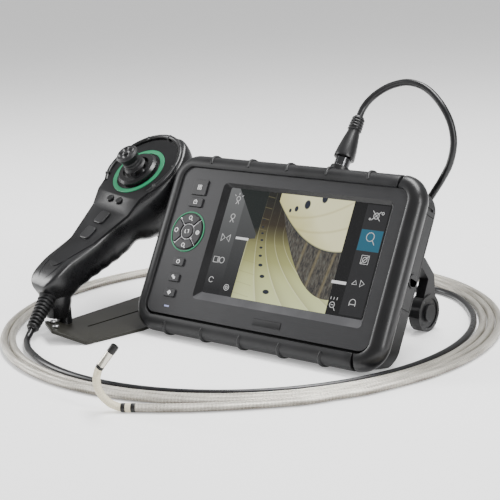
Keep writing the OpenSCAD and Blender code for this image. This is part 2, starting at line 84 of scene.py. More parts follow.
PLACE = at(*SET_AT)
MONITOR_LEAN = 61
MONITOR = PLACE @ at(40, -6.5, 71.719) @ turn("X", MONITOR_LEAN)
HANDLE_YAW, HANDLE_RISE, HANDLE_ROLL = -12, 36, 5
HANDLE = PLACE @ at(-124, 23, 118.6) @ turn("Z", HANDLE_YAW)
HANDLE = HANDLE @ turn("X", HANDLE_RISE) @ turn("Y", HANDLE_ROLL)
PLUG = MONITOR @ at(30, 74.5, -17) @ turn("X", -98)
BUTT = HANDLE @ at(4, -131, -14) @ turn("Z", 24) @ turn("X", 90)
LOBE = HANDLE @ at(0, -15, -53) @ turn("X", 180)
PX, PY = 19.0, 6.0
PICTURE_HALF_W, PICTURE_HALF_H = 77.0, 44.0
PAD_X, PAD_Y = -88.0, 8.4

# --- camera --------------------------------------------------------------------------------------

CAMERA_TURN, CAMERA_TILT, CAMERA_ROLL = 39.67, 76.71, -2.417
lens = bpy.data.cameras.new("camera")
lens.sensor_width = 36.0
lens.lens = 97.6
lens.clip_start = 0.01
lens.clip_end = 20.0
camera = bpy.data.objects.new("camera", lens)
bpy.context.scene.collection.objects.link(camera)
camera.matrix_world = (
    PLACE @ at(676.7, -798.2, 315.5)
    @ turn("Z", CAMERA_TURN) @ turn("X", CAMERA_TILT) @ turn("Z", CAMERA_ROLL)
)
bpy.context.scene.camera = camera

# --- materials -----------------------------------------------------------------------------------

# The colour sockets of a Mix node.
FIRST_COLOUR, SECOND_COLOUR, MIXED_COLOUR = 6, 7, 2


class Wire:
    """One shader value. Arithmetic written on it becomes Math nodes."""

    def __init__(self, paint, socket):
        self.paint = paint
        self.socket = socket

    def math(self, operation, *others):
        return self.paint.node("ShaderNodeMath", {"operation": operation}, [self, *others])

    def __add__(self, other):
        return self.math("ADD", other)

    def __sub__(self, other):
        return self.math("SUBTRACT", other)

    def __mul__(self, other):
        return self.math("MULTIPLY", other)

    def __truediv__(self, other):
        return self.math("DIVIDE", other)

    def __radd__(self, other):
        return self + other

    def __rmul__(self, other):
        return self * other

    def __rsub__(self, other):
        return self.paint.node("ShaderNodeMath", {"operation": "SUBTRACT"}, [other, self])

    def __pow__(self, other):
        return self.math("POWER", other)

    def __lt__(self, other):
        return self.math("LESS_THAN", other)

    def __gt__(self, other):
        return self.math("GREATER_THAN", other)

    def wave(self):
        return self.math("SINE")

    def size(self):
        return self.math("ABSOLUTE")

    def fraction(self):
        return self.math("FRACT")

    def held(self):
        """Kept between 0 and 1."""
        return self.paint.node("ShaderNodeClamp", {}, {"Value": self})

    def step(self, low, high):
        """0 below low, 1 above high, a straight ramp between."""
        return ((self - low) / (high - low)).held()


class Paint:
    """A material on one Principled shader."""

    def __init__(self, name, **constants):
        self.material = bpy.data.materials.new(name)
        self.material.use_nodes = True
        self.tree = self.material.node_tree
        self.shader = self.tree.nodes["Principled BSDF"]
        for key, value in constants.items():
            self.shader.inputs[key.replace("_", " ")].default_value = value

    def node(self, kind, settings, links, output=0):
        made = self.tree.nodes.new(kind)
        for key, value in settings.items():
            setattr(made, key, value)
        for key, value in links.items() if isinstance(links, dict) else enumerate(links):
            if isinstance(value, Wire):
                self.tree.links.new(value.socket, made.inputs[key])
            else:
                made.inputs[key].default_value = value
        return Wire(self, made.outputs[output])

    def set(self, key, wire):
        self.tree.links.new(wire.socket, self.shader.inputs[key])
        return self

    def place(self, centre=None):
        """Object coordinates in metres, or those of a piece's own place."""
        spot = self.node("ShaderNodeTexCoord", {}, {}, "Object")
        if centre is None:
            return spot
        where, facing, _ = centre.decompose()
        return self.node(
            "ShaderNodeMapping",
            {"vector_type": "TEXTURE"},
            {"Vector": spot, "Location": where, "Rotation": facing.to_euler()},
        )

    def parts(self, vector):
        return [self.node("ShaderNodeSeparateXYZ", {}, {"Vector": vector}, i) for i in range(3)]

    def noise(self, scale, detail=3.0, where=None, stretch=None):
        where = where or self.place()
        if stretch:
            where = self.node("ShaderNodeVectorMath", {"operation": "MULTIPLY"}, [where, stretch])
        return self.node(
            "ShaderNodeTexNoise", {}, {"Vector": where, "Scale": scale, "Detail": detail}
        )

    def mix(self, share, first, second):
        links = {"Factor": share}
        for key, colour in ((FIRST_COLOUR, first), (SECOND_COLOUR, second)):
            links[key] = (*colour, 1.0) if isinstance(colour, tuple) else colour
        return self.node("ShaderNodeMix", {"data_type": "RGBA"}, links, MIXED_COLOUR)

    def bump(self, height, strength, distance):
        lifted = self.node(
            "ShaderNodeBump", {}, {"Strength": strength, "Distance": distance, "Height": height}
        )
        return self.set("Normal", lifted)


def moulded(name, dark, light, rough, grain=0.12, coat=0.0, shine=0.3):
    """Moulded plastic or rubber: cloudy colour, uneven gloss and a fine leathery grain."""
    paint = Paint(name, Coat_Weight=coat, Coat_Roughness=0.25, Specular_IOR_Level=shine)
    cloud = paint.noise(35.0, 4.0)
    speck = paint.noise(2600.0, 2.0)
    paint.set("Base Color", paint.mix(cloud.step(0.35, 0.7), dark, light))
    paint.set("Roughness", (cloud - 0.5) * 0.16 + (speck - 0.5) * 0.1 + rough)
    paint.bump(speck, grain, 0.0002)
    return paint.material


def metal(name, dark, light, rough, stretch=(1.0, 1.0, 1.0)):
    """Bare or plated metal with drawn scratches along one way."""
    paint = Paint(name, Metallic=1.0)
    scratch = paint.noise(900.0, 3.0, stretch=stretch)
    cloud = paint.noise(60.0)
    paint.set("Base Color", paint.mix(cloud, dark, light))
    paint.set("Roughness", (scratch - 0.5) * 0.2 + (cloud - 0.5) * 0.1 + rough)
    paint.bump(scratch, 0.05, 0.0001)
    return paint.material


def powder(name, dark, light, rough):
    """Powder-coated sheet steel with a faint orange peel."""
    paint = Paint(name, Metallic=0.2, Specular_IOR_Level=0.3)
    peel = paint.noise(1400.0, 1.0)
    cloud = paint.noise(25.0)
    paint.set("Base Color", paint.mix(cloud, dark, light))
    paint.set("Roughness", (cloud - 0.5) * 0.15 + rough)
    paint.bump(peel, 0.15, 0.0002)
    return paint.material


def panel_finish():
    """The face panel: charcoal with fine level brushing."""
    paint = Paint("face_charcoal", Metallic=0.25, Specular_IOR_Level=0.35)
    where = paint.place(MONITOR)
    streak = paint.noise(1.0, 4.0, where, (60.0, 2600.0, 60.0))
    cloud = paint.noise(18.0, 3.0, where)
    tone = (streak - 0.5) * 0.7 + (cloud - 0.5) * 0.5 + 0.5
    paint.set("Base Color", paint.mix(tone.held(), (0.014, 0.014, 0.015), (0.034, 0.034, 0.036)))
    paint.set("Roughness", (streak - 0.5) * 0.25 + 0.42)
    paint.bump(streak, 0.08, 0.0001)
    return paint.material


def braid_finish(name, dark, light, rough, metallic, strands, lay_mm, painted_shading):
    """Braided sleeve: two crossing sets of strands along the piece's own UV, with painted shade
    underneath and painted light on top.

    The UV runs once round the tube across and along it in mm.
    """
    paint = Paint(name, Metallic=metallic)
    spot = paint.node("ShaderNodeUVMap", {"uv_map": "UVMap"}, {})
    u, v, _ = paint.parts(spot)
    full = 2.0 * math.pi
    left = ((u * strands + v / lay_mm) * full).wave()
    right = ((u * strands - v / lay_mm) * full).wave()
    weave = left * right
    streak = paint.noise(1.0, 4.0, spot, (9.0, 0.035, 1.0))
    fleck = paint.noise(1.0, 2.0, spot, (30.0, 0.9, 1.0))
    tone = (streak - 0.5) * 1.5 + (fleck - 0.5) * 0.9 + weave * 0.14 + 0.5
    # Painted light and shade: the tube is darkened underneath and lightened on top, as if lit from
    # above.
    tone = tone - (u * full).wave() * painted_shading
    paint.set("Base Color", paint.mix(tone.held(), dark, light))
    paint.set("Roughness", (fleck - 0.5) * 0.3 + rough)
    paint.bump(weave, 0.5, 0.0003)
    return paint.material


def glow(name, colour, strength):
    """A small lit mark."""
    paint = Paint(name, Emission_Strength=strength, Roughness=0.5)
    cloud = paint.noise(400.0)
    paint.set("Base Color", paint.mix(cloud, (0.02, 0.02, 0.02), (0.03, 0.03, 0.03)))
    paint.set("Emission Color", paint.mix(cloud, tuple(c * 0.9 for c in colour), colour))
    return paint.material


HOLE_ROW = [
    (-35.9, 21.3, 0.7), (-35.1, 15.2, 0.8), (-34.0, 10.1, 0.9), (-32.7, 4.6, 1.0),
    (-31.6, -1.4, 1.1), (-30.0, -7.9, 1.2), (-27.4, -15.2, 1.5), (-22.9, -23.8, 1.7),
    (-15.3, -35.3, 2.2),
    (-13.6, 31.0, 1.2), (-8.1, 32.9, 1.7), (1.2, 37.2, 2.7), (15.9, 43.4, 2.6),
]


def lit_picture():
    """The screen: a dim menu down each side and, between them, a view inside a round casing.

    All places are in mm from the middle of the picture.
    """
    paint = Paint("screen_picture", Emission_Strength=1.0, Roughness=0.12, Specular_IOR_Level=0.35)
    spot = paint.place(MONITOR)
    across, up, _ = paint.parts(spot)
    x = across / MM - PX
    y = up / MM - PY

    def inside(low_x, high_x, low_y, high_y):
        return (x > low_x) * (x < high_x) * (y > low_y) * (y < high_y)

    def over(colour, share, new):
        return paint.mix(share, colour, new)

    grain = paint.noise(1.0, 4.0, spot, (900.0, 260.0, 900.0))
    broad = paint.noise(45.0, 2.0, spot)
    # The casing's near wall: pale ribs that fan out towards the bottom and darken upwards.
    fall = ((14.0 - y) / 55.0).math("MAXIMUM", 0.0)
    fan = (x + 45.0) / (fall ** 1.75 * 2.0 + 1.0)
    rib = ((fan - 7.1) / 8.0).fraction()
    near = y.step(18.0, -26.0)
    wall = paint.mix(near, (0.07, 0.045, 0.02), (0.6, 0.62, 0.24))
    wall = over(wall, y.step(-12.0, -44.0) * 0.8, (0.86, 0.92, 0.5))
    wall = over(wall, y.step(2.0, 38.0) ** 0.7, (0.012, 0.012, 0.008))
    wall = over(wall, (1.0 - rib) ** 3.0 * 0.35 * near, (0.16, 0.12, 0.05))
    wall = over(wall, rib.step(0.9, 0.98) * (near * 0.8 + 0.06), (0.84, 0.85, 0.52))
    rung = ((y + x * 0.12) / 9.0).fraction()
    wall = over(wall, rung.step(0.9, 1.0) * (x < -31.0) * 0.4, (0.3, 0.27, 0.12))
    # The far wall: cream, with soft folds, olive where it turns away.
    shade = (broad - 0.5) * 0.6 + (x + y).step(-4.0, 40.0)
    cream = paint.mix(shade.held(), (0.62, 0.56, 0.16), (1.0, 0.97, 0.58))
    for middle, height, spread in ((-8.0, 26.0, 0.0065), (10.0, 15.9, 0.0062)):
        fold = (y - height - (x - middle) * (x - middle) * spread).size()
        cream = over(cream, fold.step(1.5, 0.0) * 0.4, (0.5, 0.42, 0.16))
    # The ring of blades between them.
    slat = ((x - y * 0.14) / 14.5 - 0.12).fraction()
    blades = paint.mix(grain.step(0.3, 0.72), (0.018, 0.02, 0.022), (0.15, 0.13, 0.1))
    blades = over(blades, (slat - 0.5).size().step(0.13, 0.0) * (x > 2.0) * 0.45, (0.34, 0.28, 0.14))
    blades = over(blades, grain.step(0.55, 0.75) * 0.4, (0.1, 0.17, 0.17))
    upper_edge = (x - 34.0) * (x - 34.0) * 0.0095 + 2.8
    lower_edge = (x + 15.7) * (x - 5.6) * 0.0186 - (x + 15.7) * 1.64 + 21.9
    edge_line = (y - upper_edge).size().step(1.2, 0.2)
    scene = over(wall, (y > lower_edge) * (x > -26.0), blades)
    scene = over(scene, (y > upper_edge) * (x > -26.0), cream)
    scene = over(scene, edge_line * (x > -26.0) * 0.7, (0.02, 0.03, 0.035))
    for hole_x, hole_y, size in HOLE_ROW:
        wide, high = (size, size * 1.35) if hole_y > 25 else (size * 1.4, size * 0.8)
        off = ((x - hole_x) / wide) ** 2.0 + ((y - hole_y) / high) ** 2.0
        scene = over(scene, off.step(1.25, 0.75), (0.015, 0.02, 0.035))
    # Menus at the sides; the left one catches a slanting light.
    slant = (y - 44.0 + (x + 68.0) * 1.263) > 0.0
    left = paint.mix(y.step(-40.0, 44.0), (0.012, 0.012, 0.013), (0.16, 0.165, 0.165))
    left = over(left, x.step(-60.5, -59.5) * 0.45, (0.02, 0.021, 0.021))
    lit = slant * (x < (y - 8.0) * 0.02 - 38.7)
    menu_edge = (y - 4.0).step(0.0, 1.0) * (1.0 - slant) * 7.0 - 47.0
    picture = over(scene, x < menu_edge, left)
    picture = over(picture, lit * y.step(4.0, 14.0), (0.006, 0.01, 0.008))
    picture = over(picture, x > 43.5, (0.004, 0.004, 0.004))
    picture = over(picture, inside(55.5, 75.6, -42.5, 43.0), (0.022, 0.022, 0.023))
    picture = over(picture, inside(55.9, 75.2, 7.2, 23.6), (0.02, 0.13, 0.2))
    picture = over(picture, inside(41.7, 54.9, -20.2, -17.9), (0.9, 0.9, 0.9))
    picture = over(picture, inside(-58.8, -46.0, 2.6, 4.6), (0.9, 0.9, 0.9))
    shown = inside(-PICTURE_HALF_W, PICTURE_HALF_W, -PICTURE_HALF_H, PICTURE_HALF_H)
    dark = (0.003, 0.003, 0.003)
    paint.set("Emission Color", paint.mix(shown, dark, picture))
    paint.set("Base Color", paint.mix(grain, (0.004, 0.004, 0.0045), (0.006, 0.006, 0.0065)))
    return paint.material


RUBBER = moulded("black_rubber", (0.006, 0.006, 0.0065), (0.012, 0.012, 0.013), 0.44, 0.14)
GRIP = moulded(
    "smooth_black_grip", (0.006, 0.006, 0.0065), (0.01, 0.01, 0.011), 0.33, 0.05, shine=0.4
)
SHELL = moulded("black_case_plastic", (0.008, 0.008, 0.0085), (0.015, 0.015, 0.016), 0.46, 0.18)
HANDLE_SKIN = moulded(
    "handle_plastic", (0.004, 0.004, 0.0045), (0.008, 0.008, 0.009), 0.27, 0.04, shine=0.5
)
HANDLE_FACE = moulded(
    "handle_face", (0.004, 0.004, 0.0045), (0.009, 0.009, 0.01), 0.38, 0.14, shine=0.25
)
KEY = moulded("key_rubber", (0.016, 0.016, 0.017), (0.028, 0.028, 0.03), 0.4, 0.1)
KEY_DARK = moulded(
    "dark_key_rubber", (0.006, 0.006, 0.0065), (0.012, 0.012, 0.013), 0.34, 0.08, shine=0.45
)
GREEN = moulded("green_ring", (0.012, 0.17, 0.075), (0.022, 0.23, 0.105), 0.32, 0.03, 0.15)
CABLE = moulded(
    "cable_sheath", (0.004, 0.004, 0.0045), (0.008, 0.008, 0.009), 0.3, 0.04, shine=0.45
)
PLUG_BLACK = moulded(
    "plug_black", (0.005, 0.005, 0.0055), (0.01, 0.01, 0.011), 0.34, 0.06, shine=0.45
)
STAND_BLACK = powder("stand_black", (0.004, 0.004, 0.0045), (0.009, 0.009, 0.01), 0.4)
FOOT_STEEL = powder("foot_steel", (0.014, 0.0135, 0.0105), (0.024, 0.023, 0.018), 0.44)
BLACK_CHROME = metal("black_chrome", (0.05, 0.05, 0.052), (0.1, 0.1, 0.105), 0.18)
STEEL = metal("drawn_steel", (0.45, 0.45, 0.46), (0.62, 0.62, 0.63), 0.32, (1.0, 1.0, 8.0))
PANEL = panel_finish()
# Painted light: a lighter grey for the upward-facing sill of the screen recess; the other recess walls
# get black plastic as painted shade.
SILL_PAINTED_LIGHT = moulded("recess_sill", (0.05, 0.05, 0.053), (0.075, 0.075, 0.078), 0.4, 0.05)
BRAID = braid_finish("steel_braid", (0.09, 0.075, 0.055), (0.66, 0.63, 0.56), 0.33, 0.8, 22, 5.0, 0.42)
TIP_BRAID = braid_finish("cream_braid", (0.52, 0.46, 0.31), (0.86, 0.8, 0.62), 0.6, 0.1, 12, 3.4, 0.1)
BOARD = moulded("board_green", (0.02, 0.1, 0.05), (0.03, 0.14, 0.07), 0.4)
CELL = moulded("cell_wrap", (0.04, 0.09, 0.2), (0.06, 0.12, 0.26), 0.35)
BLACK_BAND = moulded("black_band", (0.008, 0.008, 0.008), (0.016, 0.015, 0.015), 0.4, 0.1)
HEAD_METAL = metal("tip_metal", (0.52, 0.49, 0.42), (0.78, 0.75, 0.66), 0.3)
WHITE = moulded("white_mark", (0.7, 0.7, 0.7), (0.8, 0.8, 0.8), 0.5, 0.02)
ICON = glow("screen_icon", (0.75, 0.75, 0.75), 0.8)
LAMP = glow("status_lamp", (0.55, 0.6, 1.0), 0.9)
SCREEN = lit_picture()

# --- modelling -----------------------------------------------------------------------------------


def clear():
    """Leaves edit mode and lets go of everything, since a tool acts on all that is selected."""
    if bpy.context.object and bpy.context.object.mode != "OBJECT":
        bpy.ops.object.mode_set(mode="OBJECT")
    bpy.ops.object.select_all(action="DESELECT")


def only(piece):
    clear()
    piece.hide_set(False)
    piece.select_set(True)
    bpy.context.view_layer.objects.active = piece
    return piece


def named(name):
    piece = bpy.context.object
    piece.name = name
    piece.data.name = name
    return piece


def settle(piece, place):
    """Puts a piece drawn about the origin in its place, and its place in its mesh."""
    piece.data.transform(place @ piece.matrix_world)
    piece.matrix_world = Matrix.Identity(4)
    return piece


def edit(piece, kind="FACE"):
    """Opens a piece for editing, with all of its faces or edges selected."""
    only(piece)
    bpy.ops.object.mode_set(mode="EDIT")
    bpy.ops.mesh.select_mode(type=kind)
    bpy.ops.mesh.select_all(action="SELECT")
    return piece


def outwards(piece):
    edit(piece)
    bpy.ops.mesh.remove_doubles(threshold=1e-6)
    bpy.ops.mesh.normals_make_consistent(inside=False)
    clear()
    return piece


def apply(piece, kind, **settings):
    """Adds a modifier and applies it."""
    only(piece)
    made = piece.modifiers.new(kind.lower(), kind)
    for key, value in settings.items():
        setattr(made, key, value)
    bpy.ops.object.modifier_apply(modifier=made.name)
    return piece


def soften(piece, width, segments=2, angle=30):
    return apply(
        piece,
        "BEVEL",
        width=width * MM,
        segments=segments,
        limit_method="ANGLE",
        angle_limit=math.radians(angle),
    )


def smooth(piece, angle=35):
    only(piece)
    bpy.ops.object.shade_smooth_by_angle(angle=math.radians(angle))
    clear()
    return piece


def dress(piece, material):
    piece.data.materials.clear()
    piece.data.materials.append(material)
    return piece


def fit(piece, body, slot, material, *nodes):
    """Gives a finished piece its material and the body it moves with. The slot is not used."""
    if material:
        dress(piece, material)
    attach(piece, body)
    if nodes:
        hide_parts(*nodes)
    return piece


def body_of(node):
    return frame["nodes"][node]["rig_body"]


def refine(node, material, width, angle=35):
    """A copy of a CAD node, its points merged and its edges rounded, which then stands for it."""
    source = frame["nodes"][node]
    mesh = source.data.copy()
    piece = bpy.data.objects.new("fine_" + node, mesh)
    bpy.context.scene.collection.objects.link(piece)
    edit(piece)
    bpy.ops.mesh.remove_doubles(threshold=2e-6)
    bpy.ops.mesh.dissolve_limited(angle_limit=math.radians(0.5))
    clear()
    soften(piece, width)
    smooth(piece, angle)
    apply(piece, "WEIGHTED_NORMAL", keep_sharp=True, weight=80)
    return fit(piece, body_of(node), node, material, node)


def lathe(name, profile, sides, place):
    """Turns a profile of (radius, height) in mm, each ring extruded from the one before."""
    clear()
    radius, height = profile[0]
    bpy.ops.mesh.primitive_circle_add(
        vertices=sides, radius=radius * MM, location=(0, 0, height * MM), fill_type="NGON"
    )
    piece = named(name)
    bpy.ops.object.transform_apply(location=True, rotation=True, scale=True)
    edit(piece, "EDGE")
    for r, h in profile[1:]:
        bpy.ops.mesh.extrude_region_move(
            TRANSFORM_OT_translate={"value": (0, 0, (h - height) * MM)}
        )
        bpy.ops.transform.resize(value=(r / radius, r / radius, 1), center_override=(0, 0, h * MM))
        radius, height = r, h
    clear()
    outwards(piece)
    return settle(piece, place)


def smooth_route(points, step):
    """Points about a step apart on a smooth curve through the given ones, in metres."""
    ends = [2 * points[0] - points[1], *points, 2 * points[-1] - points[-2]]
    route = [points[0]]
    for a, b, c, d in zip(ends, ends[1:], ends[2:], ends[3:]):
        count = max(1, round((c - b).length / step))
        for i in range(1, count + 1):
            t = i / count
            route.append(
                0.5 * (
                    2 * b + (c - a) * t + (2 * a - 5 * b + 4 * c - d) * t ** 2
                    + (3 * b - a - 3 * c + d) * t ** 3
                )
            )
    return route


def route_length(route):
    return sum((b - a).length for a, b in zip(route, route[1:]))


def sleeve(name, route, radius, sides):
    """A round tube along a route, closed at both ends, with u round it and v along it in mm."""
    mesh = bpy.data.meshes.new(name)
    last = len(route) - 1
    points, along, run = [], [], 0.0
    side = None
    for i, spot in enumerate(route):
        ahead = (route[min(i + 1, last)] - route[max(i - 1, 0)]).normalized()
        if side is None:
            side = ahead.cross(Vector((0, 0, 1))).normalized()
        side = (side - ahead * side.dot(ahead)).normalized()
        over = ahead.cross(side)
        run += (spot - route[i - 1]).length if i else 0.0
        along.append(run / MM)
        for k in range(sides):
            angle = 2 * math.pi * k / sides
            points.append(spot + radius * (math.cos(angle) * side + math.sin(angle) * over))
    faces = [tuple(reversed(range(sides))), tuple(last * sides + k for k in range(sides))]
    corners = [[(0.0, 0.0)] * sides, [(0.0, along[-1])] * sides]
    for i in range(last):
        for k in range(sides):
            n = (k + 1) % sides
            faces.append((i * sides + k, i * sides + n, (i + 1) * sides + n, (i + 1) * sides + k))
            u, w = k / sides, (k + 1) / sides
            corners.append([(u, along[i]), (w, along[i]), (w, along[i + 1]), (u, along[i + 1])])
    mesh.from_pydata(points, [], faces)
    sheet = mesh.uv_layers.new(name="UVMap")
    flat = [c for face in corners for c in face]
    for loop, uv in zip(sheet.data, flat):
        loop.uv = uv
    piece = bpy.data.objects.new(name, mesh)
    bpy.context.scene.collection.objects.link(piece)
    edit(piece)
    bpy.ops.mesh.normals_make_consistent(inside=False)
    clear()
    return smooth(piece, 60)


def curve_piece(name, spots, depth, rounds=4, radii=None):
    """A round bar along spots in mm, with its own radius share at each, as a mesh."""
    line = bpy.data.curves.new(name, "CURVE")
    line.dimensions = "3D"
    line.bevel_depth = depth * MM
    line.bevel_resolution = rounds
    line.use_fill_caps = True
    strand = line.splines.new("POLY")
    strand.points.add(len(spots) - 1)
    for i, spot in enumerate(spots):
        strand.points[i].co = (*(Vector(spot) * MM), 1.0)
        strand.points[i].radius = radii[i] if radii else 1.0
    piece = bpy.data.objects.new(name, line)
    bpy.context.scene.collection.objects.link(piece)
    only(piece)
    bpy.ops.object.convert(target="MESH")
    return outwards(bpy.context.object)


def join(name, pieces):
    clear()
    for piece in pieces:
        piece.select_set(True)
    bpy.context.view_layer.objects.active = pieces[0]
    bpy.ops.object.join()
    piece = named(name)
    clear()
    return piece


# --- the handle cable and the insertion tube -----------------------------------------------------


def mm_route(points):
    return [(Vector(p) + SET_AT) * MM for p in points]


COIL_AT = Vector((-12.5, 27.8, 0.0))
CABLE_D = 5.5
CABLE_Z = 2.8
TUBE_Z = 3.0
CABLE_ROUND = 182.75
TUBE_D = 6.0
COIL_R = 189.0
TURN_PITCH = 6.5
COIL_START = 95.0
COIL_END = -34.0
COIL_TURNS = 2


def on_circle(radius, degrees, height):
    angle = math.radians(degrees)
    return COIL_AT + Vector((radius * math.cos(angle), radius * math.sin(angle), height))


CABLE_ARCH = [
    (70, 74.6, 168.6), (70.4, 79, 174.6), (74, 84, 181.6), (82, 88, 188.4), (93, 90, 193.4),
    (107, 90, 195.6), (123, 88, 192), (138, 84, 182), (148, 82, 168), (152, 80, 153),
    (150, 78, 138), (144, 77, 126), (135, 79, 114), (124, 83, 101), (112, 88, 84),
    (102, 94, 64), (95, 100, 42), (88, 105, 22), (77, 110, 9), (64, 115, 4),
    (50, 121, 2.8), (40, 133, 2.8), (36, 149, 2.8), (41, 166, 2.8), (53, 178, 2.8),
    (69, 183, 2.8), (86, 179, 2.8),
]
CABLE_TURN = [on_circle(CABLE_ROUND, a, CABLE_Z) for a in range(50, -121, -10)]
CABLE_IN = [(-117.5, -121.3, 2.8), (-124.5, -115.5, 2.8), (-128.8, -111, 3.6), (-131, -106.8, 5.7),
            (-132.2, -102.9, 8.5)]
cable_route = smooth_route(mm_route([*CABLE_ARCH, *CABLE_TURN, *CABLE_IN][::-1]), 3 * MM)
cable = sleeve("handle_cable_sheath", cable_route, CABLE_D / 2 * MM, 16)
fit(cable, "base", "handle_cable", CABLE, "handle_cable")

LEAD = [
    (-124, 57, 47), (-123.5, 62, 40), (-122, 71, 28), (-120, 82, 17), (-117, 95, 8),
    (-113, 110, 3.6), (-107, 127, 3), (-98, 145, 3), (-86, 162, 3), (-71, 178, 3),
    (-54, 193, 3), (-40, 205, 3), (-26, 211, 3),
]
RUN = [
    (165, -74, 3), (156.5, -87.5, 3), (147, -103.5, 3), (134, -118, 3), (120, -132, 3),
    (105, -145.5, 3), (89.5, -158, 3), (73.5, -169.5, 3), (57, -179.5, 3),
]
COIL_STEP = 15
COIL_TAIL = 8
swept = 360 * COIL_TURNS + COIL_START - COIL_END
coil = [
    on_circle(COIL_R + TURN_PITCH * s / 360, COIL_START - s, TUBE_Z)
    for s in range(COIL_STEP, int(swept - COIL_TAIL), COIL_STEP)
]
tube_route = smooth_route(mm_route([*LEAD, *coil, *RUN]), 6 * MM)
tube = sleeve("insertion_tube", tube_route, TUBE_D / 2 * MM, 14)
fit(tube, "base", "tube_coil", BRAID, "tube_coil", "tube_run")

# --- the bending tip -----------------------------------------------------------------------------

TIP_AT = Vector((47.5, -185, 3))
LINK_L = 7.0
LINK_TURN = 21.3
BEND_REACH = 2.0
SKIN_R = 2.75
heading = Vector((math.cos(math.radians(210)), math.sin(math.radians(210)), 0))
joints, ways = [TIP_AT.copy()], [heading]
for n in range(1, 7):
    rise = math.radians(LINK_TURN * n)
    ways.append(math.cos(rise) * heading + math.sin(rise) * Vector((0, 0, 1)))
    joints.append(joints[-1] + LINK_L * ways[-1])

for n in range(6):
    before = joints[n] - ways[n] * (LINK_L / 2 if n else 5.0)
    after = joints[n] + ways[n + 1] * (LINK_L / 2 if n < 5 else 3.6)
    near = joints[n] - ways[n] * BEND_REACH
    far = joints[n] + ways[n + 1] * BEND_REACH
    middle = joints[n] * 0.5 + (near + far) * 0.25
    route = smooth_route(mm_route([before, near, middle, far, after]), 0.8 * MM)
    skin = sleeve("tip_braid_%d" % (n + 1), route, SKIN_R * MM, 20)
    dress(skin, TIP_BRAID)
    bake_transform(skin)
    if n < 5:
        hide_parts("bend_%d" % (n + 1))


def along(origin, way):
    """A place whose z runs along way from origin, both in mm."""
    spot = (origin + SET_AT) * MM
    return Matrix.Translation(spot) @ way.to_track_quat("Z", "X").to_matrix().to_4x4()


ferrule_at = along(TIP_AT - heading * 11, heading)
for name, low, high, radius, material in (
    ("ferrule_near_band", 0.0, 3.2, 3.12, BLACK_BAND),
    ("ferrule_white_band", 3.2, 7.2, 3.05, TIP_BRAID),
    ("ferrule_far_band", 7.2, 10.2, 3.12, BLACK_BAND),
):
    profile = [(radius - 0.5, low), (radius - 0.15, low + 0.02), (radius, low + 0.25),
               (radius, high - 0.25), (radius - 0.15, high - 0.02), (radius - 0.5, high)]
    band = lathe(name, profile, 28, ferrule_at)
    smooth(band, 50)
    fit(band, "base", "tube_ferrule", material)
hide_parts("tube_ferrule")

head_at = along(joints[5], ways[6])
head = lathe(
    "tip_head_barrel",
    [(2.2, 0.9), (2.85, 1.0), (2.9, 1.3), (2.9, 3.4), (2.78, 3.6), (2.78, 15.2), (2.9, 15.3),
     (2.9, 20.6), (2.7, 21.0), (1.7, 21.0), (1.6, 20.5), (0.4, 20.4)],
    28, head_at,
)
smooth(head, 40)
dress(head, HEAD_METAL)
head.data.materials.append(BLACK_BAND)
fit(head, "tip_head", "tip_head", None, "tip_head")
inverse = head_at.inverted()
for face in head.data.polygons:
    height = (inverse @ face.center).z / MM
    face.material_index = 1 if height < 3.5 or height > 15.3 else 0

# --- the cable's plug and the two glands ---------------------------------------------------------


def ribbed(start, end, r_start, r_end, ribs, proud):
    """A tapering profile with evenly spaced round ribs."""
    profile = []
    pitch = (end - start) / ribs
    for i in range(ribs):
        low = start + i * pitch
        wide = r_start + (r_end - r_start) * i / ribs
        profile += [
            (wide, low), (wide, low + 0.36 * pitch), (wide + 0.7 * proud, low + 0.42 * pitch),
            (wide + proud, low + 0.55 * pitch), (wide + proud, low + 0.78 * pitch),
            (wide + 0.7 * proud, low + 0.93 * pitch),
        ]
    return profile


plug = lathe(
    "plug_body",
    [(3.0, 12.9), (7.6, 13.0), (8.3, 13.3), (8.4, 14.0), (8.3, 15.6), (8.05, 18.0), (7.7, 21.0),
     (7.1, 25.0), (6.3, 29.5), (5.5, 33.5), (4.9, 36.6), (4.8, 37.6), (5.5, 38.0), (5.75, 38.6),
     *ribbed(39.2, 48.6, 5.0, 4.3, 4, 0.7), (4.3, 49.2), (3.9, 50.0), (2.9, 50.0)],
    40, PLUG,
)
smooth(plug, 40)
fit(plug, "base", "cable_plug", PLUG_BLACK, "cable_plug")
core = lathe("plug_core", [(1.0, 0.1), (3.9, 0.1), (3.95, 0.4), (3.95, 13.0), (1.0, 13.0)], 32, PLUG)
smooth(core, 40)
fit(core, "base", "cable_plug", STEEL)

relief = lathe(
    "cable_relief",
    [(5.0, -2.0), (6.6, -1.0), (7.2, 0.0), (7.6, 2.0), (7.4, 4.2), (6.4, 5.0),
     *ribbed(5.4, 36.4, 5.9, 3.9, 9, 1.15), (3.9, 36.8), (3.7, 38.0), (2.9, 38.0)],
    36, BUTT,
)
smooth(relief, 40)
fit(relief, "base", "cable_gland", RUBBER, "cable_gland")

gland = lathe(
    "tube_relief",
    [(4.0, -4.0), (7.0, -3.0), (7.0, 2.4), (6.6, 3.0), (5.7, 3.4), (5.5, 6.0),
     *ribbed(6.5, 22.0, 5.0, 4.0, 4, 0.5), (4.0, 23.0), (3.8, 24.8), (3.1, 25.0)],
    32, LOBE,
)
smooth(gland, 40)
fit(gland, "base", "tube_gland", RUBBER, "tube_gland")

route_length(cable_route)
route_length(tube_route)

# --- bumper and side grip ------------------------------------------------------------------------

EDGE_R = 9.0
RIM_Z = -7.0
HALF_W, HALF_H = 112.5, 66.0
CORNER = 13.0


